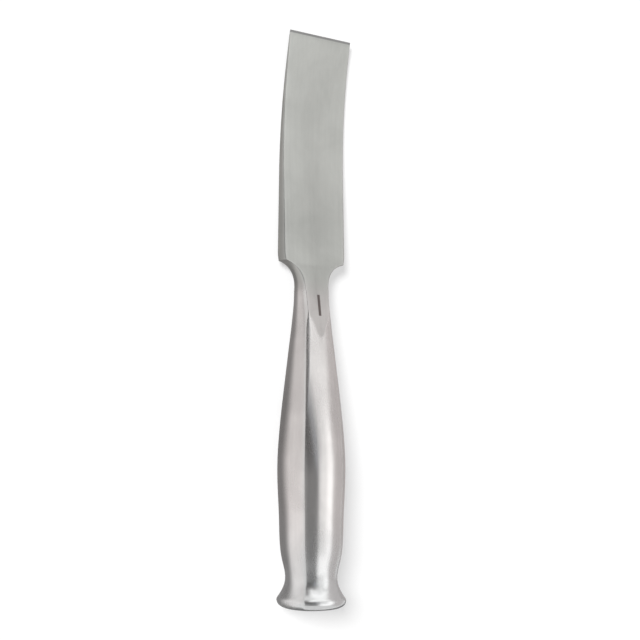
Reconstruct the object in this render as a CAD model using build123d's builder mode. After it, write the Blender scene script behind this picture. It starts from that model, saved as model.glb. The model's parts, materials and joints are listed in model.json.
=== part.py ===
from build123d import *
import math
import os

# Curved osteotome, forged and ground from one bar of stainless steel, lying on its back.
# The tool's own axis is local Y, from the striking face at 0 to the cutting edge.
# Local X is the blade's width and local Z its thickness, with the hollow of the curve upwards.
# Lengths are in millimetres and angles in degrees.

# Blade
total_length = 203.2
blade_length = 82.0
blade_width = 26.0
tip_width = 26.2
blade_thickness = 5.0
edge_thickness = 0.3
bend_length = 50.0
bend_rise = 5.9

# Shoulders, neck and the ground flats that run out on the handle
shoulder_drop = 10.2
neck_width = 9.7
ramp_lead = 1.5
ramp_angle = 8.7

# Handle: places measured from the striking face, and how far its four creases stand from the axis.
# The three stations before the belly keep their shares of the length from the belly to the neck.
shank_share = 47 / 63
shank_reach = 7.8
taper_share = 32 / 63
taper_reach = 9.65
fore_share = 14 / 63
fore_reach = 11.5
belly_place = 48.0
belly_reach = 12.2
aft_place = 30.0
aft_reach = 11.5
flare_place = 16.5
flare_reach = 10.4
waist_place = 9.6
waist_reach = 9.35
rim_place = 3.4
rim_reach = 12.35
rim_rounding = 2.8
section_gap = 5.0

# Handle: where its creases run, how far each panel turns from its middle to them, and how round they are
shank_crease_angle = 43.0
belly_crease_angle = 46.0
side_turn = 28.0
shank_front_turn = 12.0
belly_front_turn = 45.0
neck_crease = 0.4
shank_crease = 0.7
belly_crease = 1.6

# Attitude at rest: the blade's end hangs lower than the striking end
rest_lean = 5.6

shoulder_place = total_length - blade_length
neck_place = shoulder_place - shoulder_drop
bend_place = total_length - bend_length
fore_length = neck_place - belly_place
shank_place = belly_place + shank_share * fore_length
taper_place = belly_place + taper_share * fore_length
fore_place = belly_place + fore_share * fore_length

tool = Plane(
    origin=(0, 0, 0),
    x_dir=(1, 0, 0),
    z_dir=(0, math.sin(math.radians(rest_lean)), math.cos(math.radians(rest_lean))),
)
side = Plane(origin=tool.origin, x_dir=tool.y_dir, z_dir=tool.x_dir)


def across(place):
    """The plane square to the tool's axis at a place along it, with local Z up in the sketch."""
    return Plane(origin=tool.from_local_coords((0, place, 0)), x_dir=tool.x_dir, z_dir=-tool.y_dir)


def pillow(plane, half_width, half_depth, side_bow, front_bow, crease):
    """A four-cornered outline whose sides bow outwards, with its corners rounded."""
    with BuildSketch(plane) as outline:
        with BuildLine():
            ThreePointArc((-half_width, half_depth), (0, half_depth + front_bow), (half_width, half_depth))
            ThreePointArc((half_width, half_depth), (half_width + side_bow, 0), (half_width, -half_depth))
            ThreePointArc((half_width, -half_depth), (0, -half_depth - front_bow), (-half_width, -half_depth))
            ThreePointArc((-half_width, -half_depth), (-half_width - side_bow, 0), (-half_width, half_depth))
        make_face()
        fillet(outline.vertices(), crease)
    return outline.sketch.face()


def half_thickness(place):
    """Half the wedge's thickness at a place on the blade."""
    share = (place - shoulder_place) / blade_length
    return (blade_thickness + share * (edge_thickness - blade_thickness)) / 2


ramp_place = shoulder_place - ramp_lead
ramp_slope = math.tan(math.radians(ramp_angle))
neck_half_depth = blade_thickness / 2 + (ramp_place - neck_place) * ramp_slope

with BuildLine() as crease_line:
    Spline(
        (neck_place, math.hypot(neck_width / 2, neck_half_depth)),
        (shank_place, shank_reach),
        (taper_place, taper_reach),
        (fore_place, fore_reach),
        (belly_place, belly_reach),
        (aft_place, aft_reach),
        (flare_place, flare_reach),
        (waist_place, waist_reach),
        (rim_place, rim_reach),
        tangents=[(-1, 0), (-1, 0.8)],
    )


def share_along(place):
    """How far a place lies from the shank towards the belly: 0 to 1, with a gentle start and stop."""
    share = min(max((shank_place - place) / (shank_place - belly_place), 0), 1)
    return share * share * (3 - 2 * share)


sections = [pillow(across(neck_place), neck_width / 2, neck_half_depth, 0.3, 0.1, neck_crease)]
profile = crease_line.edge()
count = math.ceil(profile.length / section_gap)
for step in range(1, count + 1):
    spot = profile @ (step / count)
    share = share_along(spot.X)
    front_turn = shank_front_turn + share * (belly_front_turn - shank_front_turn)
    crease = shank_crease + share * (belly_crease - shank_crease)
    crease_angle = math.radians(shank_crease_angle + share * (belly_crease_angle - shank_crease_angle))
    half_width = spot.Y * math.sin(crease_angle)
    half_depth = spot.Y * math.cos(crease_angle)
    side_bow = half_depth * math.tan(math.radians(side_turn / 2))
    front_bow = half_width * math.tan(math.radians(front_turn / 2))
    sections.append(pillow(across(spot.X), half_width, half_depth, side_bow, front_bow, crease))

with BuildPart() as osteotome:
    # Handle, from the neck's plain section through the belly and the waist to the rim
    loft(sections)
    extrude(sections[-1], amount=rim_place, dir=-tool.y_dir)
    rim_edges = osteotome.faces().sort_by(Axis(tool.origin, tool.y_dir))[0].edges()
    fillet(rim_edges, rim_rounding)

    # Blade, shoulders and neck as seen square on
    with BuildSketch(tool):
        with BuildLine():
            Line((neck_width / 2, neck_place), (-neck_width / 2, neck_place))
            TangentArc((-neck_width / 2, neck_place), (-blade_width / 2, shoulder_place), tangent=(0, 1))
            Line((-blade_width / 2, shoulder_place), (-tip_width / 2, total_length))
            Line((-tip_width / 2, total_length), (tip_width / 2, total_length))
            Line((tip_width / 2, total_length), (blade_width / 2, shoulder_place))
            TangentArc((neck_width / 2, neck_place), (blade_width / 2, shoulder_place), tangent=(0, 1))
        make_face()
    extrude(amount=belly_reach, both=True)

    # Front and back as seen from the side: the ramps, the wedge and its bend
    top_start = (bend_place, half_thickness(bend_place))
    back_start = (bend_place, -half_thickness(bend_place))
    top_shoulder = (ramp_place, blade_thickness / 2)
    back_shoulder = (ramp_place, -blade_thickness / 2)
    ramp_depth = blade_thickness / 2 + ramp_place * ramp_slope
    with BuildSketch(side):
        with BuildLine():
            Line((0, -ramp_depth), (0, ramp_depth))
            Line((0, ramp_depth), top_shoulder)
            Line(top_shoulder, top_start)
            top_bend = TangentArc(
                top_start,
                (total_length, bend_rise + edge_thickness / 2),
                tangent=(top_start[0] - top_shoulder[0], top_start[1] - top_shoulder[1]),
            )
            Line(top_bend @ 1, (total_length, bend_rise - edge_thickness / 2))
            back_bend = TangentArc(
                back_start,
                (total_length, bend_rise - edge_thickness / 2),
                tangent=(back_start[0] - back_shoulder[0], back_start[1] - back_shoulder[1]),
            )
            Line(back_start, back_shoulder)
            Line(back_shoulder, (0, -ramp_depth))
        make_face()
    extrude(amount=blade_width, both=True, mode=Mode.INTERSECT)

# The piece lies with its lowest point at height 0 and the middle of its length over the origin
box = osteotome.part.bounding_box()
osteotome.part.locate(Location((0, -box.center().Y, -box.min.Z)))
osteotome.part.label = "osteotome"
os.makedirs("parts", exist_ok=True)
export_step(osteotome.part, "parts/osteotome.step")
print("the tool's own axis starts at Y", round(-box.center().Y, 4), "Z", round(-box.min.Z, 4))
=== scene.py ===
# %% [markdown]
# An osteotome is a surgeon's chisel. This one is forged and ground from a single bar of stainless
# steel: a thin curved blade, hollow shoulders, a narrow neck and a handle that swells to a belly
# and ends in a rim to strike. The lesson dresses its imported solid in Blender: one surface worked
# out from a few driving sizes, a satin finish, and the studio cards whose reflections give polished
# steel its light and dark bands.

# %% Load the frame
import json
import math

import bmesh
import bpy
import numpy as np
from mathutils import Matrix, Vector


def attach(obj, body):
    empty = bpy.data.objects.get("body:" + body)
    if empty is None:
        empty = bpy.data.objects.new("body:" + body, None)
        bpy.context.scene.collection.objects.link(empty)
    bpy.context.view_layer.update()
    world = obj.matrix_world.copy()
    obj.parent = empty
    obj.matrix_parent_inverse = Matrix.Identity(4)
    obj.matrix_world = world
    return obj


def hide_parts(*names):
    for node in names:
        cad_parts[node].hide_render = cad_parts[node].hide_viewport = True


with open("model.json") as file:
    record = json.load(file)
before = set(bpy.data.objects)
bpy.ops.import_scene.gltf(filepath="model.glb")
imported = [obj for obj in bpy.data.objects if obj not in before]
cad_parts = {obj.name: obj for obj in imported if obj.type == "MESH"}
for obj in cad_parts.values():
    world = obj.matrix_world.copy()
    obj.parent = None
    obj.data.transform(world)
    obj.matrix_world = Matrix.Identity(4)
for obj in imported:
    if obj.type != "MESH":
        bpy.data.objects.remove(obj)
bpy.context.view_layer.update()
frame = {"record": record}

# %% [markdown]
# The tool lies on its back, and its blade end hangs lower than its struck end. Everything is easier
# to say along the tool's own axis, so the record's striking face gives that axis: where it starts,
# and which way it runs. Places along the axis are millimetres from the striking face.

# %% Find the tool's own axes
striking_face = frame["record"]["mounts"][0]
axis_start = np.array(striking_face["pos_m"])
axis_along = -np.array(striking_face["axis"])
axis_across = np.array([1.0, 0.0, 0.0])
axis_up = np.cross(axis_across, axis_along)
lean = math.atan2(-axis_along[2], axis_along[1])
MM = 0.001


def to_row(points):
    """A point of the tool, (across, along, up) in millimetres, is the axis's start plus each
    number times its axis, in metres."""
    frame_axes = np.stack([axis_across, axis_along, axis_up])
    return axis_start + (points * MM) @ frame_axes


print("the blade end hangs", round(math.degrees(lean), 2), "degrees lower")

# %% [markdown]
# The driving sizes are those of the real tool, in millimetres and degrees. First come the ground
# forms: the blade with its bend and its edge, the shoulders, the neck and the ramps.

# %% Sizes of blade and neck
total_length = 203.2
blade_length = 82.0
blade_width = 26.0
tip_width = 26.2
blade_thickness = 5.0
edge_thickness = 0.3
bend_length = 50.0
bend_rise = 5.9
shoulder_drop = 10.2
neck_width = 9.7
ramp_lead = 1.5
ramp_angle = 8.7
shoulder_place = total_length - blade_length
neck_place = shoulder_place - shoulder_drop
ramp_place = shoulder_place - ramp_lead
bend_place = total_length - bend_length
print("neck at", round(neck_place, 1), "shoulders at", round(shoulder_place, 1))

# %% [markdown]
# The handle is known by how far its four creases stand from the axis at a few places, and by how
# much each bowed panel turns on its way from its middle to a crease. Before it is ground, the
# forging stands a little proud on the handle's last stretch before the neck. It grows to its
# raw_height between raw_start and raw_full millimetres from the neck, and the wheel takes it off.

# %% Sizes of the handle
crease_places = [3.4, 9.6, 16.5, 30.0, 48.0, 62.0, 80.0, 95.0]
crease_reaches = [12.35, 9.35, 10.4, 11.5, 12.2, 11.5, 9.65, 7.8]
rim_place = crease_places[0]
belly_place = crease_places[4]
shank_place = crease_places[7]
rim_rounding = 2.8
rim_slope = -0.8
shank_crease_angle = 43.0
belly_crease_angle = 46.0
neck_blend = 16.0
side_turn = 28.0
neck_side_turn = 38.0
shoulder_side_turn = 32.0
side_turn_lead = 10.0
side_turn_end = 2.5
shank_front_turn = 13.0
belly_front_turn = 45.0
raw_height = 0.9
raw_start = 15.0
raw_full = 4.0
crease_radius_places = [0.0, 8.0, 20.0, 45.0, 80.0, 97.0, 104.0, 111.0, 115.0, 124.0, 195.0, 203.2]
crease_radii = [3.4, 3.0, 1.9, 1.8, 2.7, 2.6, 0.2, 0.25, 0.55, 0.6, 0.35, 0.05]
print("creases stand out", min(crease_reaches), "to", max(crease_reaches), "mm")

# %% [markdown]
# A handle like this could be lofted by hand with subdivision, but its light depends on slopes that
# change smoothly, so a cubic spline gives the creases' distance from the axis at every place.

# %% A smooth line through a few places


def smooth_line(places, values, first_slope, last_slope, at):
    """Cubic pieces through (place, value) whose slope and curvature agree where they meet. The
    slopes m at the knots solve one linear system, and each piece is the Hermite cubic of its
    two values and two slopes."""
    x = np.array(places, float)
    v = np.array(values, float)
    gap = np.diff(x)
    rise = np.diff(v) / gap
    system = np.eye(len(x))
    right = np.zeros(len(x))
    right[0] = first_slope
    right[-1] = last_slope
    inner = np.arange(1, len(x) - 1)
    system[inner, inner - 1] = gap[1:]
    system[inner, inner] = 2 * (gap[:-1] + gap[1:])
    system[inner, inner + 1] = gap[:-1]
    right[1:-1] = 3 * (gap[1:] * rise[:-1] + gap[:-1] * rise[1:])
    slopes = np.linalg.solve(system, right)
    piece = np.clip(np.searchsorted(x, at) - 1, 0, len(gap) - 1)
    t = (at - x[piece]) / gap[piece]
    start = v[piece] * (1 + 2 * t) * (1 - t) ** 2 + slopes[piece] * gap[piece] * t * (1 - t) ** 2
    end = v[piece + 1] * t**2 * (3 - 2 * t) + slopes[piece + 1] * gap[piece] * t**2 * (t - 1)
    return start + end


halfway = np.array([(crease_places[1] + crease_places[2]) / 2])
reach_halfway = smooth_line(crease_places, crease_reaches, rim_slope, 0.0, halfway)[0]
print("creases halfway from waist to flare:", round(reach_halfway, 2), "mm from the axis")

# %% [markdown]
# Two small helpers round off what would else be a kink: one for a change along the tool, and one
# for the line where two ground faces meet, which no wheel leaves perfectly sharp.

# %% Gentle changes


def ease(value, start, end):
    """0 before start, 1 after end, and 3 t^2 - 2 t^3 between them, so it starts and stops gently."""
    t = np.clip((value - start) / (end - start), 0, 1)
    return t * t * (3 - 2 * t)


def soft_max(a, b, blend):
    """The larger of two heights, with their corner rounded: (a + b + sqrt((a - b)^2 + blend^2)) / 2."""
    return (a + b + np.sqrt((a - b) ** 2 + blend**2)) / 2


print("halfway:", ease(0.5, 0, 1), "and a rounded corner stands", soft_max(0, 0, 0.1), "proud")

# %% [markdown]
# Front and back are ground faces. Each is a wedge that thins to the cutting edge, a gentle bend,
# and a ramp that rises from the blade's root and runs out on the bowed handle, where it leaves a
# tongue-shaped flat. That flat is the tool's signature, so it is cut the way the wheel cuts it.

# %% Ground faces, front and back
ramp_slope = math.tan(math.radians(ramp_angle))
ramp_blend = 0.12
bevel_length = 0.9
bevel_half = 0.03


def half_wedge(place):
    """Half the blade's thickness, falling in a straight line from the ramp's foot to the bend."""
    thinned = (bend_place - shoulder_place) / blade_length * (blade_thickness - edge_thickness)
    bend_half = (blade_thickness - thinned) / 2
    root_half = blade_thickness / 2
    return root_half + (place - ramp_place) / (bend_place - ramp_place) * (bend_half - root_half)


def ground_face(place, side):
    """Height of the front (side 1) or back (side -1) ground face over the axis. Up to the bend it is
    side times the wedge, after it a parabola that leaves with the wedge's slope and ends at the
    edge, and below the ramp's foot the ramp's straight line takes over with a soft corner."""
    straight = half_wedge(place)
    start = half_wedge(bend_place)
    slope = (half_wedge(bend_place) - half_wedge(ramp_place)) / (bend_place - ramp_place)
    end = side * bend_rise + edge_thickness / 2
    bow = (end - start - slope * bend_length) / bend_length**2
    past = np.clip(place - bend_place, 0, None)
    blade = np.where(place > bend_place, start + slope * past + bow * past**2, straight)
    ramp = blade_thickness / 2 + (ramp_place - place) * ramp_slope
    return side * soft_max(blade, ramp, ramp_blend)


edge_heights = [ground_face(np.array([total_length]), side)[0] for side in (1, -1)]
print("front and back at the edge:", np.round(edge_heights, 3))

# %% [markdown]
# Every cross-section is one closed outline with four panels and four creases, from the rim to the
# thin blade. The side panels are bowed. The front and back panels are bowed too, until the ground
# face cuts them off. Each crease is an arc of true radius, because a crease this soft is what the
# light draws as a line. Points are spaced by a sine, so they crowd towards the creases.

# %% Steps round the outline
panel_steps = 48
arc_steps = 8
panel_share = np.sin(np.linspace(-1, 1, panel_steps + 1) * math.pi / 2)[None, :]
arc_share = (np.arange(1, arc_steps) / arc_steps)[None, :]

# %% [markdown]
# Rows of outlines follow the axis closely where the shape turns quickly: round the rim, in the
# shoulders' hollows and at the cutting edge. A hollow is an arc that leaves the neck in line with
# it and meets the blade's corner, so equal steps of its angle give the rows their places.

# %% Places of the rows
hollow_reach = (blade_width - neck_width) / 2
hollow_radius = (hollow_reach**2 + shoulder_drop**2) / (2 * hollow_reach)
hollow_angle = math.asin(shoulder_drop / hollow_radius)
rim_row_count = 14
handle_row_gap = 0.6
hollow_row_count = 34
blade_row_count = 74
rim_rows = rim_rounding * (1 - np.cos(np.linspace(0, math.pi / 2, rim_row_count)))
handle_rows = np.arange(rim_rounding + handle_row_gap / 2, neck_place - 0.1, handle_row_gap)
hollow_rows = neck_place + hollow_radius * np.sin(np.linspace(0, hollow_angle, hollow_row_count))
corner_rows = shoulder_place + np.array([0.05, 0.15, 0.3, 0.6, 1.0])
blade_rows = np.linspace(shoulder_place + 1.8, total_length - bevel_length - 0.3, blade_row_count)
before_edge = [bevel_length + 0.05, bevel_length - 0.05, bevel_length / 2, 0.15, 0.0]
edge_rows = total_length - np.array(before_edge)
places = np.concatenate([rim_rows, handle_rows, hollow_rows, corner_rows, blade_rows, edge_rows])
print(len(places), "rows of", 4 * (panel_steps + arc_steps), "points")

# %% [markdown]
# The handle's section changes all the way along: nearly round at the rim, pillowed at the belly and
# squarer towards the neck. Half widths, half depths and bows are worked out for all rows at once.

# %% Sections along the tool


def rim_inset(place):
    """How far the rim's rounding draws the outline in: r - sqrt(r^2 - (r - place)^2)."""
    short = np.clip(rim_rounding - place, 0, rim_rounding)
    return rim_rounding - np.sqrt(np.maximum(rim_rounding**2 - short**2, 0))


def sections(place):
    """Half width and half depth at the creases, the turns of side and front panels, and the
    creases' radius, for each place. The half depth is the handle's: on the blade the ground faces
    give it. Where the forging stands proud, the side panels keep their arc and run on along it, so
    the corner moves up by the raw height and inwards with the arc."""
    on_handle = place < neck_place
    neck_depth = ground_face(np.array([neck_place]), 1)[0]
    neck_reach = math.hypot(neck_width / 2, neck_depth)
    all_places = crease_places + [neck_place]
    all_reaches = crease_reaches + [neck_reach]
    reach = smooth_line(all_places, all_reaches, rim_slope, 0.0, np.maximum(place, rim_place))
    neck_angle = math.degrees(math.atan2(neck_width / 2, neck_depth))
    to_neck = ease(place, neck_place - neck_blend, neck_place)
    to_belly = ease(-place, -shank_place, -belly_place)
    handle_angle = shank_crease_angle + (belly_crease_angle - shank_crease_angle) * to_belly
    angle = np.radians(handle_angle + (neck_angle - handle_angle) * to_neck)
    inset = rim_inset(place)
    to_raw = ease(place, neck_place - raw_start, neck_place - raw_full)
    front_turn = shank_front_turn + (belly_front_turn - shank_front_turn) * to_belly
    front_turn = front_turn * (1 - to_raw)
    side_places = [shank_place - side_turn_lead, neck_place, shoulder_place, shoulder_place + side_turn_end]
    side = np.interp(place, side_places, [side_turn, neck_side_turn, shoulder_side_turn, 0.0])
    at_crease = reach * np.cos(angle) - inset
    raw_depth = at_crease + raw_height * to_raw
    side_arc = at_crease / np.sin(np.radians(np.maximum(side, side_turn)))
    drawn_in = np.sqrt(side_arc**2 - at_crease**2) - np.sqrt(side_arc**2 - raw_depth**2)
    side = np.where(on_handle, np.degrees(np.arcsin(raw_depth / side_arc)), side)
    along_hollow = np.clip(place - neck_place, 0, shoulder_drop)
    hollow = neck_width / 2 + hollow_radius - np.sqrt(hollow_radius**2 - along_hollow**2)
    widening = (tip_width - blade_width) / 2 * np.clip((place - shoulder_place) / blade_length, 0, 1)
    bulge = np.tan(np.radians(side / 2)) * blade_thickness / 2 * ease(place, neck_place, shoulder_place)
    half_width = np.where(on_handle, reach * np.sin(angle) - inset - drawn_in, hollow + widening - bulge)
    radius = np.interp(place, crease_radius_places, crease_radii)
    return half_width, raw_depth, side, front_turn, radius


belly_half_width = sections(np.array([belly_place]))[0][0]
print("the belly's creases are", round(2 * belly_half_width, 2), "mm apart")

# %% [markdown]
# A panel that a belt has bowed is an arc. Where the wheel has cut it, the ground face is the lower of
# the two, and between them runs the curved line that bounds the tongue on the neck.

# %% Bowed panels
flat_blend = 0.03
least_turn = 0.01


def bowed(arc, half_length, base, along):
    """A panel of half length a that turns by t from its middle to its crease is an arc of radius
    a / sin(t), and stands at base + sqrt(arc^2 - along^2) - sqrt(arc^2 - a^2)."""
    return base + np.sqrt(np.maximum(arc**2 - along**2, 0)) - np.sqrt(arc**2 - half_length**2)


def side_panel(section, height):
    """How far the side panel stands out at a height."""
    up = height - section["middle"]
    return bowed(section["side_arc"], section["half_depth"], section["half_width"], up)


def front_panel(section, face, out):
    """Height of the panel's surface at a distance out: the lower of panel and ground face, with
    their corner rounded. Also how far the panel stood over the face before it was ground."""
    panel = bowed(section["front_arc"], section["half_width"], section["half_depth"], out)
    return -soft_max(-panel, -face, flat_blend), panel - face


arc_height = bowed(10.0, 5.0, 0.0, 0.0)
print("an arc of radius 10 over a chord of 10 stands", round(arc_height, 2), "high")

# %% [markdown]
# Half an outline goes from the middle of the side over the crease to the middle of the front or
# back. The crease is worked out from its two panels, so its arc leaves both of them smoothly.

# %% Half an outline
mask_blend = 0.02
# How far the painted highlight along each crease fades, in millimetres.
crease_highlight_width = 0.7
largest_crease = 0.8


def half_outline(section, sign, ground):
    """From the middle of the right side to the middle of the front (1) or back (-1). A crease of
    radius r between normals that differ by an angle q starts r tan(q / 2) before the corner on
    both panels. What the arc misses the side panel by is shared out along it."""
    middle = section["middle"]
    face = sign * (ground - middle)
    corner_up = np.minimum(section["half_depth"], face)
    corner_out = side_panel(section, middle + sign * corner_up)
    side_lean = np.arcsin(corner_up / section["side_arc"])
    front_lean = np.where(face < section["half_depth"], 0.0, np.radians(section["front_turn"]))
    between = math.pi / 2 - side_lean - front_lean
    radius = np.minimum(section["radius"], largest_crease * corner_up / np.tan(between / 2))
    run = radius * np.tan(between / 2)
    up = corner_up - run * np.cos(side_lean)
    out = corner_out - run * np.cos(front_lean)
    arc_angle = side_lean + between * arc_share
    centre_out = out - radius * np.sin(front_lean)
    centre_up = front_panel(section, face, out)[0] - radius * np.cos(front_lean)
    miss_out = side_panel(section, middle + sign * up) - centre_out - radius * np.cos(side_lean)
    miss_up = up - centre_up - radius * np.sin(side_lean)
    arc_out = centre_out + radius * np.cos(arc_angle) + miss_out * (1 - arc_share)
    arc_up = centre_up + radius * np.sin(arc_angle) + miss_up * (1 - arc_share)
    face_out = out * panel_share[:, ::-1]
    face_up, proud = front_panel(section, face, face_out)
    return {
        "end": up,
        "arc_x": arc_out,
        "arc_z": middle + sign * arc_up,
        "x": face_out,
        "z": middle + sign * face_up,
        "ground": ease(proud, -mask_blend, mask_blend),
        "near": np.exp(-(((out - np.abs(face_out)) / crease_highlight_width) ** 2)),
    }


def whole_outline(side, top_arc, top, low_arc, low, mirror):
    """Eight pieces in their order: right side, crease, front, crease, left side, crease, back and
    crease. mirror is -1 for distances across, which change sign on the left, and else 1."""
    pieces = [side, top_arc, top, mirror * top_arc[:, ::-1], mirror * side[:, ::-1]]
    pieces += [mirror * low_arc, mirror * low, low_arc[:, ::-1]]
    return np.concatenate(pieces, 1)


# The brightening that fades over this width is a painted highlight on the creases.
print("a rubbed crease fades over", crease_highlight_width, "mm")

# %% [markdown]
# One array then holds every point of the surface. Beside it come two masks for the steel: how near
# a point is to a crease, where the steel gets a painted highlight, and whether the wheel has ground it.
# The blade is ground all round, so on sides and creases the second mask comes in gently along the neck.

# %% The surface as one array
mask_lead = 4.0
mask_tail = 5.0


def tool_surface(place):
    """Points (row, round, 3) in the tool's own millimetres, nearness to a crease, and where the
    wheel has ground. On the handle the ground faces cut the panels, and on the blade they are its
    front and back, drawn in to the bevel near the edge."""
    half_width, half_depth, side, front_turn, radius = (a[:, None] for a in sections(place))
    front = ground_face(place, 1)[:, None]
    back = ground_face(place, -1)[:, None]
    on_handle = (place < neck_place)[:, None]
    to_edge = (total_length - place)[:, None]
    middle = np.where(on_handle, 0.0, (front + back) / 2)
    bevel = bevel_half + to_edge * (edge_thickness / 2 - bevel_half) / bevel_length
    blade_half = np.minimum((front - back) / 2, bevel)
    half_depth = np.where(on_handle, half_depth, blade_half)
    section = {
        "middle": middle,
        "half_width": half_width,
        "half_depth": half_depth,
        "side_arc": half_depth / np.sin(np.radians(np.maximum(side, least_turn))),
        "front_arc": half_width / np.sin(np.radians(np.maximum(front_turn, least_turn))),
        "front_turn": front_turn,
        "radius": radius,
    }
    top = half_outline(section, 1, np.where(on_handle, front, middle + blade_half))
    low = half_outline(section, -1, np.where(on_handle, back, middle - blade_half))
    side_half = (top["end"] + low["end"]) / 2
    side_up = middle + (top["end"] - low["end"]) / 2 + side_half * panel_share
    side_near = np.exp(-((side_half * (1 - np.abs(panel_share)) / crease_highlight_width) ** 2))
    side_out = side_panel(section, side_up)
    x = whole_outline(side_out, top["arc_x"], top["x"], low["arc_x"], low["x"], -1)
    z = whole_outline(side_up, top["arc_z"], top["z"], low["arc_z"], low["z"], 1)
    y = np.broadcast_to(place[:, None], x.shape)
    ones = np.ones_like(top["arc_x"])
    crease = whole_outline(side_near, ones, top["near"], ones, low["near"], 1)
    on_blade = ease(place, neck_place - mask_lead, neck_place + mask_tail)[:, None]
    arc_ground = on_blade * ones
    side_ground = np.broadcast_to(on_blade, side_up.shape)
    top_ground = np.where(on_handle, top["ground"], 1.0)
    low_ground = np.where(on_handle, low["ground"], 1.0)
    ground = whole_outline(side_ground, arc_ground, top_ground, arc_ground, low_ground, 1)
    return np.stack([x, y, z], -1), crease, ground


surface, crease_mask, ground_mask = tool_surface(places)
belly_row = surface[np.argmin(abs(places - belly_place))]
print("belly is", round(2 * belly_row[:, 0].max(), 2), "mm wide")

# %% [markdown]
# The array becomes one closed mesh: quads join each row to the next, rings that shrink to a point
# close the striking face, and the last row folds onto a line to close the cutting edge. The seam
# and the pole are merged, and the sign of the enclosed volume tells whether faces point outwards.

# %% From the array to a mesh


def closed_grid(rows):
    """Quads (a, a + 1, next row a + 1, next row a) that wrap round, as one array of indices."""
    count, around = rows.shape[:2]
    first = np.arange(count - 1)[:, None] * around
    here = np.arange(around)[None, :]
    beside = (here + 1) % around
    after = first + around
    return np.stack([first + here, first + beside, after + beside, after + here], -1).reshape(-1, 4)


ring_count = 8
face_steps = np.arange(ring_count) / ring_count
ring_scale = np.stack([face_steps, np.ones(ring_count), face_steps], -1)
face_rings = surface[0][None] * ring_scale[:, None, :]
edge_line = surface[-1].copy()
edge_line[:, 2] = (ground_face(places[-1:], 1)[0] + ground_face(places[-1:], -1)[0]) / 2
rows = np.concatenate([face_rings, surface, edge_line[None]])
faces = closed_grid(rows)
points = rows.reshape(-1, 3)
corner = points[faces]
signed = np.einsum("ij,ij->i", corner[:, 0], np.cross(corner[:, 1], corner[:, 2]))
signed = signed + np.einsum("ij,ij->i", corner[:, 0], np.cross(corner[:, 2], corner[:, 3]))
if signed.sum() < 0:
    faces = faces[:, ::-1]
# The sum is six times the volume in cubic millimetres, and a cubic centimetre has a thousand.
print("volume", round(abs(signed.sum()) / 6 / 1000, 2), "cubic centimetres")

# %% [markdown]
# The mesh takes its points in metres and in the row's frame, so its object stays at the origin,
# unturned. The two masks go in as one number for each vertex, which the steel reads by name.

# %% The mesh and its masks
mesh = bpy.data.meshes.new("osteotome_body")
mesh.from_pydata(to_row(points).tolist(), [], faces.tolist())


def add_values(name, values):
    """One number for each vertex, which a material reads by its name."""
    layer = mesh.attributes.new(name, "FLOAT", "POINT")
    layer.data.foreach_set("value", np.asarray(values, dtype=np.float32).ravel())


ends = np.zeros(face_rings.shape[:2])
add_values("crease", np.concatenate([ends, crease_mask, crease_mask[-1:]]))
add_values("ground", np.concatenate([ends, ground_mask, ground_mask[-1:]]))
print(len(mesh.vertices), "points, masks crease and ground:", "ground" in mesh.attributes)

# %% [markdown]
# Points that fall together are merged, and slivers without area are dissolved, so the skin is
# closed. Shading is smooth, except where faces meet at more than sharp_angle, as at the corners of
# the blade. The finished body then takes the solid's place in the frame.

# %% The finished body
merge_distance = 0.002 * MM
sliver_length = 0.0001 * MM
sharp_angle = 38
work = bmesh.new()
work.from_mesh(mesh)
bmesh.ops.remove_doubles(work, verts=work.verts, dist=merge_distance)
bmesh.ops.dissolve_degenerate(work, edges=work.edges, dist=sliver_length)
work.to_mesh(mesh)
work.free()
mesh.shade_smooth()
mesh.set_sharp_from_angle(angle=math.radians(sharp_angle))
body = bpy.data.objects.new("osteotome_body", mesh)
bpy.context.collection.objects.link(body)
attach(body, "root")
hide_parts("osteotome")
print(len(mesh.polygons), "faces")

# %% [markdown]
# Satin steel is not one grey. A belt leaves fine scratches along the tool, and hands and cleaning
# leave broad cloudy patches. Each effect is a node group with named inputs and outputs, so that
# another tool's steel can take it with its own values. These helpers keep the making of nodes short.

# %% Helpers for nodes


def add_node(tree, kind, **settings):
    """Makes a node and sets what is given: a plain name is an attribute, in_NAME an input."""
    node = tree.nodes.new(kind)
    for name, value in settings.items():
        if name.startswith("in_"):
            node.inputs[name[3:].replace("_", " ")].default_value = value
        else:
            setattr(node, name, value)
    return node


def start_group(name, inputs, outputs):
    """A shader node group whose sockets are given as (name, kind, value)."""
    tree = bpy.data.node_groups.new(name, "ShaderNodeTree")
    for socket_name, kind, value in inputs:
        socket = tree.interface.new_socket(socket_name, in_out="INPUT", socket_type=kind)
        if value is not None:
            socket.default_value = value
    for socket_name, kind in outputs:
        tree.interface.new_socket(socket_name, in_out="OUTPUT", socket_type=kind)
    return tree, tree.nodes.new("NodeGroupInput"), tree.nodes.new("NodeGroupOutput")


def use_group(tree, group, **values):
    """Places a group in a tree and sets its inputs by name."""
    node = tree.nodes.new("ShaderNodeGroup")
    node.node_tree = group
    for name, value in values.items():
        node.inputs[name.replace("_", " ")].default_value = value
    return node


print("helpers:", add_node.__name__, start_group.__name__, use_group.__name__)

# %% [markdown]
# A finishing belt runs along the tool, so its scratches are long and very thin. Noise that is
# squeezed across the axis and stretched along it looks like them. Fine noise gives the bump its
# height, and the same place on a coarser scale gives streaks that dull or deepen the shine.

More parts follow.
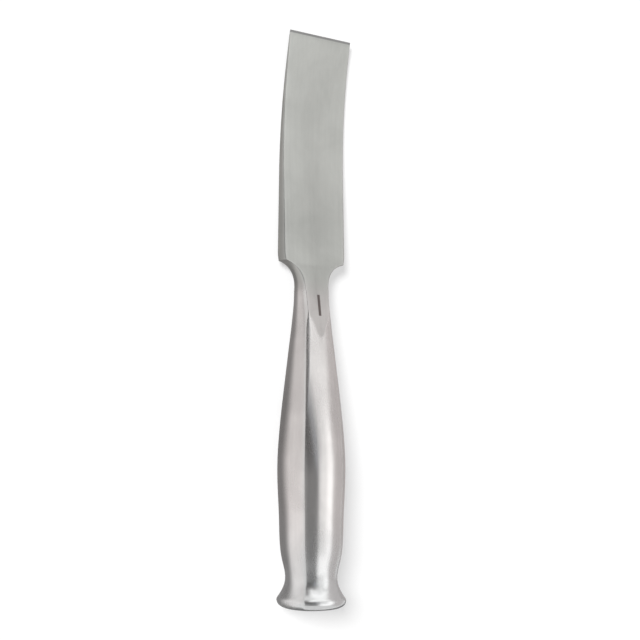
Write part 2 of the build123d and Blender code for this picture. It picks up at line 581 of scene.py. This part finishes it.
# %% Belt grain
grain, grain_in, grain_out = start_group(
    "belt_grain",
    [
        ("Place", "NodeSocketVector", None),
        ("Across", "NodeSocketFloat", 5000.0),
        ("Along", "NodeSocketFloat", 90.0),
    ],
    [("Height", "NodeSocketFloat"), ("Streak", "NodeSocketFloat")],
)
spread = add_node(grain, "ShaderNodeCombineXYZ")
grain.links.new(grain_in.outputs["Across"], spread.inputs["X"])
grain.links.new(grain_in.outputs["Along"], spread.inputs["Y"])
grain.links.new(grain_in.outputs["Across"], spread.inputs["Z"])
stretched = add_node(grain, "ShaderNodeVectorMath", operation="MULTIPLY")
grain.links.new(grain_in.outputs["Place"], stretched.inputs[0])
grain.links.new(spread.outputs["Vector"], stretched.inputs[1])
scratches = add_node(grain, "ShaderNodeTexNoise", in_Scale=1.0, in_Detail=3.0, in_Roughness=0.6)
grain.links.new(stretched.outputs["Vector"], scratches.inputs["Vector"])
grain.links.new(scratches.outputs["Fac"], grain_out.inputs["Height"])
broad = add_node(grain, "ShaderNodeVectorMath", operation="SCALE", in_Scale=0.22)
grain.links.new(stretched.outputs["Vector"], broad.inputs[0])
streaks = add_node(grain, "ShaderNodeTexNoise", in_Scale=1.0, in_Detail=2.0, in_Roughness=0.5)
grain.links.new(broad.outputs["Vector"], streaks.inputs["Vector"])
grain.links.new(streaks.outputs["Fac"], grain_out.inputs["Streak"])
print("belt grain gives", [item.name for item in grain.interface.items_tree if item.in_out == "OUTPUT"])

# %% [markdown]
# Fingers, cloths and steam leave patches a centimetre or so wide. A noise with a little distortion
# has their soft, uneven outline, and its middle range is spread from 0 to 1.

# %% Cloudy handling marks
cloud, cloud_in, cloud_out = start_group(
    "handling_cloud",
    [
        ("Place", "NodeSocketVector", None),
        ("Size", "NodeSocketFloat", 90.0),
    ],
    [("Dullness", "NodeSocketFloat")],
)
patches = add_node(cloud, "ShaderNodeTexNoise", in_Detail=4.0, in_Roughness=0.55, in_Distortion=0.4)
cloud.links.new(cloud_in.outputs["Place"], patches.inputs["Vector"])
cloud.links.new(cloud_in.outputs["Size"], patches.inputs["Scale"])
settled = add_node(cloud, "ShaderNodeMapRange", in_From_Min=0.3, in_From_Max=0.7)
cloud.links.new(patches.outputs["Fac"], settled.inputs["Value"])
cloud.links.new(settled.outputs["Result"], cloud_out.inputs["Dullness"])
print("groups:", [g.name for g in bpy.data.node_groups])

# %% [markdown]
# The steel itself is one material. All its patterns follow the tool's own axis, so a Mapping node
# turns the object's coordinates into the tool's. The groups are placed with values for this tool,
# and two attributes of the mesh say where its ground faces and its creases lie.

# %% Satin steel, and where on the tool
steel = bpy.data.materials.new("satin_steel")
steel.use_nodes = True
tree = steel.node_tree
link = tree.links.new
shader = tree.nodes["Principled BSDF"]
shader.inputs["Metallic"].default_value = 1.0
shader.inputs["Anisotropic"].default_value = 0.35

spot = add_node(tree, "ShaderNodeTexCoord")
turned = add_node(tree, "ShaderNodeMapping", vector_type="TEXTURE")
turned.inputs["Location"].default_value = axis_start
turned.inputs["Rotation"].default_value = (-lean, 0, 0)
link(spot.outputs["Object"], turned.inputs["Vector"])
place = turned.outputs["Vector"]

belt = use_group(tree, grain, Across=5200.0, Along=120.0)
link(place, belt.inputs["Place"])
marks = use_group(tree, cloud, Size=70.0)
link(place, marks.inputs["Place"])
ground = add_node(tree, "ShaderNodeAttribute", attribute_name="ground")
crease = add_node(tree, "ShaderNodeAttribute", attribute_name="crease")
parts_of_place = add_node(tree, "ShaderNodeSeparateXYZ")
link(place, parts_of_place.inputs["Vector"])
print("material", steel.name, "metallic", shader.inputs["Metallic"].default_value)

# %% [markdown]
# The handle is warmer than its aft end, and the ground faces are darker: brownish on the neck's
# flat, a shade greener and darker at the blade's root, where the darkness is painted shade, and
# lighter again on the blade. Each change is a smooth blend between two places on the axis, because
# a belt has no hard edge either.

# %% Colours along the tool
aft_colour = (0.605, 0.61, 0.61, 1)
handle_colour = (0.625, 0.605, 0.595, 1)
flat_colour = (0.475, 0.457, 0.447, 1)
# The root's colour is darker than flat and blade: painted shade.
shaded_root_colour = (0.42, 0.426, 0.406, 1)
blade_colour = (0.525, 0.533, 0.508, 1)
aft_to_handle_places = (8, 38)
flat_to_root_places = (106, 117)
root_to_blade_places = (126, 162)


def blend_along(before, after, start, end):
    """One colour that turns into another between two places on the axis."""
    share = add_node(tree, "ShaderNodeMapRange", interpolation_type="SMOOTHSTEP")
    share.inputs["From Min"].default_value = start * MM
    share.inputs["From Max"].default_value = end * MM
    link(parts_of_place.outputs["Y"], share.inputs["Value"])
    mix = add_node(tree, "ShaderNodeMix", data_type="RGBA", in_A=before, in_B=after)
    link(share.outputs["Result"], mix.inputs["Factor"])
    return mix


root_to_blade = blend_along(shaded_root_colour, blade_colour, *root_to_blade_places)
flat_to_root = blend_along(flat_colour, shaded_root_colour, *flat_to_root_places)
link(root_to_blade.outputs["Result"], flat_to_root.inputs["B"])
aft_to_handle = blend_along(aft_colour, handle_colour, *aft_to_handle_places)
base = add_node(tree, "ShaderNodeMix", data_type="RGBA")
link(aft_to_handle.outputs["Result"], base.inputs["A"])
link(flat_to_root.outputs["Result"], base.inputs["B"])
link(ground.outputs["Fac"], base.inputs["Factor"])
print("colours change at", aft_to_handle_places, flat_to_root_places, root_to_blade_places)

# %% [markdown]
# The creases are painted a little brighter: a painted highlight along them. The belt's streaks and the
# cloudy patches then multiply the colour by factors near 1: enough to break up a flat grey, and no more.

# %% Painted crease highlights, streaks and clouds
# The creases' brighter colour is a painted highlight.
crease_highlight_colour = (0.8, 0.8, 0.79, 1)
strongest_crease_highlight = 0.1
streak_strength = 0.1
palest_patch = 1.06
darkest_patch = 0.92
crease_highlight_share = add_node(tree, "ShaderNodeMath", operation="MULTIPLY")
crease_highlight_share.inputs[1].default_value = strongest_crease_highlight
link(crease.outputs["Fac"], crease_highlight_share.inputs[0])
crease_highlighted = add_node(tree, "ShaderNodeMix", data_type="RGBA")
crease_highlighted.inputs["B"].default_value = crease_highlight_colour
link(crease_highlight_share.outputs["Value"], crease_highlighted.inputs["Factor"])
link(base.outputs["Result"], crease_highlighted.inputs["A"])
streaked = add_node(tree, "ShaderNodeMix", data_type="RGBA", blend_type="MULTIPLY")
streaked.inputs["Factor"].default_value = streak_strength
link(crease_highlighted.outputs["Result"], streaked.inputs["A"])
link(belt.outputs["Streak"], streaked.inputs["B"])
paler = add_node(tree, "ShaderNodeMapRange", in_To_Min=palest_patch, in_To_Max=darkest_patch)
link(marks.outputs["Dullness"], paler.inputs["Value"])
clouded = add_node(tree, "ShaderNodeMix", data_type="RGBA", blend_type="MULTIPLY", in_Factor=1.0)
link(streaked.outputs["Result"], clouded.inputs["A"])
link(paler.outputs["Result"], clouded.inputs["B"])
print("clouds multiply the colour by", darkest_patch, "to", palest_patch)

# %% [markdown]
# How wide a reflection spreads is what makes satin: the ground faces are duller than the belted
# handle, and patches and streaks add a little. The scratches also tilt the surface, by a bump only
# a hundredth of a millimetre deep.

# %% Roughness and bump of the steel
handle_roughness = 0.2
ground_roughness = 0.29
patch_roughness = 0.05
streak_roughness = 0.06
rough_ground = add_node(tree, "ShaderNodeMapRange", in_To_Min=handle_roughness, in_To_Max=ground_roughness)
link(ground.outputs["Fac"], rough_ground.inputs["Value"])
rough_marks = add_node(tree, "ShaderNodeMath", operation="MULTIPLY_ADD")
rough_marks.inputs[1].default_value = patch_roughness
link(marks.outputs["Dullness"], rough_marks.inputs[0])
link(rough_ground.outputs["Result"], rough_marks.inputs[2])
rough_belt = add_node(tree, "ShaderNodeMath", operation="MULTIPLY_ADD")
rough_belt.inputs[1].default_value = streak_roughness
link(belt.outputs["Streak"], rough_belt.inputs[0])
link(rough_marks.outputs["Value"], rough_belt.inputs[2])
bump = add_node(tree, "ShaderNodeBump", in_Strength=0.25, in_Distance=0.00001)
link(belt.outputs["Height"], bump.inputs["Height"])
link(bump.outputs["Normal"], shader.inputs["Normal"])
print("roughness", handle_roughness, "on the handle,", ground_roughness, "where ground")

# %% [markdown]
# A short plain line is etched on the neck's front flat. It is too shallow for geometry, so three
# masks make it: a band across, a band along, and the front half of the tool. Etching leaves the
# steel dark and dull.

# %% Where the etched line lies
etch_start = 101.9
etch_end = 109.3
etch_middle_across = 0.25
etch_half_width = 0.42
etch_soft_side = 0.25
etch_soft_end = 0.2


def within(value, middle, half, soft):
    """1 within half of middle, falling to 0 over soft, all in millimetres."""
    node = add_node(tree, "ShaderNodeMath", operation="SUBTRACT")
    node.inputs[1].default_value = middle * MM
    link(value, node.inputs[0])
    size = add_node(tree, "ShaderNodeMath", operation="ABSOLUTE")
    link(node.outputs["Value"], size.inputs[0])
    fall = add_node(tree, "ShaderNodeMapRange", in_To_Min=1.0, in_To_Max=0.0)
    fall.inputs["From Min"].default_value = half * MM
    fall.inputs["From Max"].default_value = (half + soft) * MM
    link(size.outputs["Value"], fall.inputs["Value"])
    return fall.outputs["Result"]


def product(first, second):
    """Two masks multiplied."""
    node = add_node(tree, "ShaderNodeMath", operation="MULTIPLY")
    link(first, node.inputs[0])
    link(second, node.inputs[1])
    return node.outputs["Value"]


etch_middle_along = (etch_start + etch_end) / 2
etch_half_length = (etch_end - etch_start) / 2
line_across = within(parts_of_place.outputs["X"], etch_middle_across, etch_half_width, etch_soft_side)
line_along = within(parts_of_place.outputs["Y"], etch_middle_along, etch_half_length, etch_soft_end)
on_front = add_node(tree, "ShaderNodeMath", operation="GREATER_THAN")
on_front.inputs[1].default_value = 0.0
link(parts_of_place.outputs["Z"], on_front.inputs[0])
etched = product(product(line_across, line_along), on_front.outputs["Value"])
print("etched line", round(2 * etch_half_length, 1), "mm long and", 2 * etch_half_width, "mm wide")

# %% [markdown]
# The cutting edge is honed on a stone after grinding. Its narrow bevel is painted dark in the base
# colour: a painted reflection of a darker part of the room. With that and the etched line, the colour
# and the roughness are whole, and they go to the shader.

# %% Painted dark edge, and the finished steel
# The bevel's dark colour is a painted reflection.
edge_painted_reflection_colour = (0.3, 0.3, 0.295, 1)
edge_painted_reflection_blend = 0.15
etched_colour = (0.15, 0.13, 0.125, 1)
etched_roughness = 0.25
edge_painted_reflection_share = add_node(tree, "ShaderNodeMapRange")
edge_painted_reflection_share.inputs["From Min"].default_value = (total_length - bevel_length) * MM
edge_painted_reflection_share.inputs["From Max"].default_value = (total_length - bevel_length + edge_painted_reflection_blend) * MM
link(parts_of_place.outputs["Y"], edge_painted_reflection_share.inputs["Value"])
edge_painted_reflection_mix = add_node(tree, "ShaderNodeMix", data_type="RGBA")
edge_painted_reflection_mix.inputs["B"].default_value = edge_painted_reflection_colour
link(edge_painted_reflection_share.outputs["Result"], edge_painted_reflection_mix.inputs["Factor"])
link(clouded.outputs["Result"], edge_painted_reflection_mix.inputs["A"])
final_colour = add_node(tree, "ShaderNodeMix", data_type="RGBA")
final_colour.inputs["B"].default_value = etched_colour
link(etched, final_colour.inputs["Factor"])
link(edge_painted_reflection_mix.outputs["Result"], final_colour.inputs["A"])
link(final_colour.outputs["Result"], shader.inputs["Base Color"])
final_rough = add_node(tree, "ShaderNodeMath", operation="MULTIPLY_ADD")
final_rough.inputs[1].default_value = etched_roughness
link(etched, final_rough.inputs[0])
link(rough_belt.outputs["Value"], final_rough.inputs[2])
link(final_rough.outputs["Value"], shader.inputs["Roughness"])
body.data.materials.append(steel)
print("steel has", len(tree.nodes), "nodes")

# %% [markdown]
# Polished steel shows its surroundings, so a photographer builds them, and cuts the background out
# afterwards. Here the world lights the tool at a low, even level, and looks white to the camera and
# in reflections. Light Path tells those rays from the ones that light things.

# %% White surroundings
world = bpy.data.worlds.new("white_studio")
bpy.context.scene.world = world
world.use_nodes = True
sky = world.node_tree
room_light = 0.4
ambient = sky.nodes["Background"]
ambient.inputs["Color"].default_value = (1, 1, 1, 1)
ambient.inputs["Strength"].default_value = room_light
paper_white = add_node(sky, "ShaderNodeBackground", in_Strength=1.0)
paper_white.inputs["Color"].default_value = (1, 1, 1, 1)
choose = add_node(sky, "ShaderNodeMixShader")
sky.links.new(ambient.outputs["Background"], choose.inputs[1])
sky.links.new(paper_white.outputs["Background"], choose.inputs[2])
sky.links.new(choose.outputs["Shader"], sky.nodes["World Output"].inputs["Surface"])


def seen_directly(tree):
    """1 for camera, glossy and transmission rays, 0 for the rays that light things."""
    path = tree.nodes.new("ShaderNodeLightPath")
    total = None
    for name in ("Is Camera Ray", "Is Glossy Ray", "Is Transmission Ray"):
        if total is None:
            total = path.outputs[name]
            continue
        larger = add_node(tree, "ShaderNodeMath", operation="MAXIMUM")
        tree.links.new(total, larger.inputs[0])
        tree.links.new(path.outputs[name], larger.inputs[1])
        total = larger.outputs["Value"]
    return total


sky.links.new(seen_directly(sky), choose.inputs["Fac"])
print("the room lights the tool at", room_light)

# %% [markdown]
# The bands on the handle are reflections of a softbox above it, of darker gaps beside the softbox,
# and of a grey ceiling. Each is a plain rectangle that only reflections can see, and it is square to
# the line from the tool's axis to its middle. Angles go round the axis from straight up towards the
# tool's right, in degrees. Levels are brightness against white paper.

# %% Studio cards
white = (1, 1, 1, 1)
warm = (1, 0.97, 0.965, 1)
rosy = (1, 0.955, 0.95, 1)
cool = (0.93, 0.99, 1.06, 1)
studio_cards = {
    # name: angle, distance, half width, first place, last place, level, tint
    "softbox_start": (18, 300, 140, -250, -90, 1.8, white),
    "softbox": (7.5, 300, 78, -90, 95, 1.3, white),
    "softbox_core": (32.5, 300, 56, -90, 95, 1.85, white),
    "softbox_end": (11, 300, 58, 95, 178, 1.15, white),
    "softbox_end_core": (32, 300, 53, 95, 178, 1.7, white),
    "softbox_tip": (12, 300, 53, 178, 235, 1.3, white),
    "flare_softbox": (-4, 300, 118, 255, 380, 1.35, white),
    "far_softbox": (3, 450, 405, 380, 900, 1.72, white),
    "aft_gap": (-39, 600, 183, -500, 60, 0.3, white),
    "aft_band": (-14, 600, 84, -500, 60, 0.22, white),
    "fore_gap": (-39, 600, 183, 60, 260, 0.12, white),
    "fore_band": (-14, 600, 84, 60, 260, 0.46, cool),
    "neck_gap": (-40, 600, 300, 260, 900, 0.26, warm),
    "ceiling_card": (14, 640, 330, -500, 420, 0.72, white),
    "right_card": (78, 600, 430, -500, 900, 0.74, rosy),
}


def emission_material(name, level, tint):
    """A surface that shines evenly at a level."""
    material = bpy.data.materials.new(name)
    material.use_nodes = True
    nodes = material.node_tree
    nodes.nodes.remove(nodes.nodes["Principled BSDF"])
    shine = add_node(nodes, "ShaderNodeEmission", in_Strength=level, in_Color=tint)
    nodes.links.new(shine.outputs["Emission"], nodes.nodes["Material Output"].inputs["Surface"])
    return material


def only_reflected(item):
    """Hides a card from every ray but those that bounce off something shiny."""
    item.visible_camera = False
    item.visible_diffuse = False
    item.visible_transmission = False
    item.visible_shadow = False


def make_card(name, points, level, tint, faces=((0, 1, 2, 3),)):
    """A sheet of points in the row's frame, a rectangle if its faces aren't given."""
    mesh = bpy.data.meshes.new(name)
    mesh.from_pydata(np.array(points).tolist(), [], np.array(faces).tolist())
    card = bpy.data.objects.new(name, mesh)
    bpy.context.collection.objects.link(card)
    mesh.materials.append(emission_material(name, level, tint))
    only_reflected(card)
    return card


def panel_frame(angle, distance):
    """The middle of a card round the axis, and the direction across it, in the tool's own axes."""
    turn = math.radians(angle)
    middle = distance * np.array([math.sin(turn), 0, math.cos(turn)])
    across = np.array([math.cos(turn), 0, -math.sin(turn)])
    return middle, across


for name, (angle, distance, half_width, first, last, level, tint) in studio_cards.items():
    middle, across = panel_frame(angle, distance)
    corners = []
    for side, where in ((-1, first), (1, first), (1, last), (-1, last)):
        corners.append(to_row(middle + side * half_width * across + np.array([0, where, 0])))
    make_card(name, corners, level, tint)
print("cards:", list(studio_cards))

# %% [markdown]
# The tool's sides and their dark outline reflect what lies beside the tool on the table. There a
# glowing sheet that only reflections see is dark next to the tool and pale farther out: a painted
# reflection of the paper's shade beside the tool. It is one grid with a level at each point,
# because separate strips would show their joints in the steel. At each stop along the row,
# strip_dark_to and strip_pale_from say where the dark ends and the pale begins, in millimetres
# across with minus to the left, and the last two lists say how bright they are.

# %% Painted reflection of shaded paper on the left
strip_stops = [-140, -97, -90, -72, -52, -32, -12, 8, 18, 140]
strip_dark_to = [-12, -12, -15, -14, -11, -11, -9, -8, -11, -11]
strip_pale_from = [-25, -25, -31, -30, -26, -24, -18, -15, -17, -17]
# strip_dark gives the levels of the painted shade next to the tool.
strip_dark = [0.4, 0.4, 0.3, 0.3, 0.27, 0.26, 0.34, 0.38, 0.38, 0.38]
strip_pale = [1.18, 1.18, 1.27, 1.2, 1.04, 0.93, 0.93, 0.95, 0.69, 0.69]
strip_height = 0.2
strip_x = np.concatenate([np.arange(-4.0, -41.0, -1.0), [-100, -500]])[:, None]
strip_y = np.arange(-140.0, 141.0, 5.0)[None, :]
dark_to, pale_from, dark, pale = (
    np.interp(strip_y, strip_stops, values)
    for values in (strip_dark_to, strip_pale_from, strip_dark, strip_pale)
)
strip_level = dark + (pale - dark) * ease(-strip_x, -dark_to, -pale_from)
strip_points = np.stack(np.broadcast_arrays(strip_x, strip_y, strip_height), -1) * MM
index = np.arange(strip_level.size).reshape(strip_level.shape)
strip_faces = np.stack([index[:-1, :-1], index[1:, :-1], index[1:, 1:], index[:-1, 1:]], -1)
left_strip = make_card("left_strip", strip_points.reshape(-1, 3), 1.0, warm, strip_faces.reshape(-1, 4))
strip_layer = left_strip.data.attributes.new("level", "FLOAT", "POINT")
strip_layer.data.foreach_set("value", strip_level.astype(np.float32).ravel())
strip_tree = left_strip.data.materials[0].node_tree
level_read = add_node(strip_tree, "ShaderNodeAttribute", attribute_name="level")
strip_tree.links.new(level_read.outputs["Fac"], strip_tree.nodes["Emission"].inputs["Strength"])
print("left strip:", strip_level.size, "points, levels", strip_level.min().round(2), "to", strip_level.max())

# %% [markdown]
# Two plain sheets lie on the paper too: one on the right, and a dark one before the rim, a painted
# reflection of the shade there, which draws the line under it. Each is given by its left, right,
# near and far sides in millimetres.

# %% Plain sheets on the right and before the rim
flat_sheets = {
    # name: left, right, near, far, level, tint
    "right_strip": (5, 300, -103, 140, 0.6, rosy),
    # The dark end_strip is painted shade, seen in the steel as a line under the rim.
    "end_strip": (-30, 80, -160, -99, 0.22, white),
}
for name, (left, right, near, far, level, tint) in flat_sheets.items():
    corners = [(left, near), (right, near), (right, far), (left, far)]
    make_card(name, [(x * MM, y * MM, strip_height * MM) for x, y in corners], level, tint)
print("sheets:", list(flat_sheets))

# %% [markdown]
# The photograph's shadow lies on the right and is soft, so one broad lamp stands on the left. It is
# hidden from reflections, because the steel should show the cards there: its light only falls on
# the paper. An angle of 18 degrees is that of a large lamp near by.

# %% A broad lamp on the left
lamp_from = Vector((-0.96, 0.4, 1.0))
lamp_angle = 18
lamp_level = 3.5
lamp_data = bpy.data.lights.new("left_lamp", "SUN")
lamp_data.angle = math.radians(lamp_angle)
lamp_data.energy = lamp_level
lamp = bpy.data.objects.new("left_lamp", lamp_data)
lamp.rotation_euler = (-lamp_from).to_track_quat("-Z", "Y").to_euler()
lamp.visible_glossy = False
bpy.context.collection.objects.link(lamp)
lamp_height = math.degrees(math.atan2(lamp_from.z, lamp_from.xy.length))
print("the lamp stands", round(lamp_height), "degrees high")

# %% [markdown]
# The floor is a sheet of paper. The lamp and the room light its grey to a little over half white, so
# that it keeps the tool's shadow. Rays that look at it directly see a glow of its own as well, which
# lifts the bare paper to plain white.

# %% Floor
floor_half = 2.0
paper_grey = 0.5
paper_lift = 0.47
paper_roughness = 0.9
floor_mesh = bpy.data.meshes.new("floor")
floor_signs = [(-1, -1), (1, -1), (1, 1), (-1, 1)]
floor_corners = [(x * floor_half, y * floor_half, 0) for x, y in floor_signs]
floor_mesh.from_pydata(floor_corners, [], [(0, 1, 2, 3)])
floor = bpy.data.objects.new("floor", floor_mesh)
bpy.context.collection.objects.link(floor)
paper = bpy.data.materials.new("white_paper")
paper.use_nodes = True
paper_tree = paper.node_tree
paper_shader = paper_tree.nodes["Principled BSDF"]
paper_shader.inputs["Base Color"].default_value = (paper_grey, paper_grey, paper_grey, 1)
paper_shader.inputs["Roughness"].default_value = paper_roughness
paper_shader.inputs["Specular IOR Level"].default_value = 0.0
paper_shader.inputs["Emission Color"].default_value = (1, 1, 1, 1)
lift = add_node(paper_tree, "ShaderNodeMath", operation="MULTIPLY")
lift.inputs[1].default_value = paper_lift
paper_tree.links.new(seen_directly(paper_tree), lift.inputs[0])
paper_tree.links.new(lift.outputs["Value"], paper_shader.inputs["Emission Strength"])
floor.data.materials.append(paper)
print("floor", 2 * floor_half, "m wide")

# %% [markdown]
# The photograph looks down on the tool from its left side, 34.5 degrees off square, with the tool
# upright in the frame. Its perspective puts the camera about 45 cm away, above the handle's belly,
# so the camera leans 6 degrees towards the blade. These values come from fitting the outline, and
# the focal length follows from the scale of the picture, in pixels for each radian.

# %% Camera
camera_distance = 450.0
camera_roll = math.radians(34.5)
camera_pitch = math.radians(6.03)
aim_along = 100.75
aim_aside = 3.1
pixels_per_radian = 1263.5
frame_pixels = 640
square_on = np.array([-math.sin(camera_roll), 0, math.cos(camera_roll)])
image_right = np.array([math.cos(camera_roll), 0, math.sin(camera_roll)])
along = np.array([0, 1.0, 0])
towards_camera = math.cos(camera_pitch) * square_on - math.sin(camera_pitch) * along
image_up = math.cos(camera_pitch) * along + math.sin(camera_pitch) * square_on
aim = np.array([0, aim_along, 0]) + aim_aside * image_right
camera_data = bpy.data.cameras.new("camera")
camera_data.lens = pixels_per_radian / frame_pixels * camera_data.sensor_width
camera = bpy.data.objects.new("camera", camera_data)
bpy.context.collection.objects.link(camera)
bpy.context.scene.camera = camera
origin_row = to_row(np.zeros(3))


def turned_to_row(vector):
    """A direction of the tool, turned into the row's frame."""
    return Vector((to_row(vector) - origin_row) / MM)


camera_spot = Vector(to_row(aim + camera_distance * towards_camera))
camera_axes = Matrix([turned_to_row(v) for v in (image_right, image_up, towards_camera)]).transposed()
camera.matrix_world = Matrix.Translation(camera_spot) @ camera_axes.to_4x4()
camera_data.clip_start = 0.01
camera_data.clip_end = 20.0
print("camera at", [round(v, 3) for v in camera.location], "lens", round(camera_data.lens, 1))

# %% [markdown]
# Standard shows colours as they are written.

# %% Picture settings
bpy.context.scene.view_settings.view_transform = "Standard"
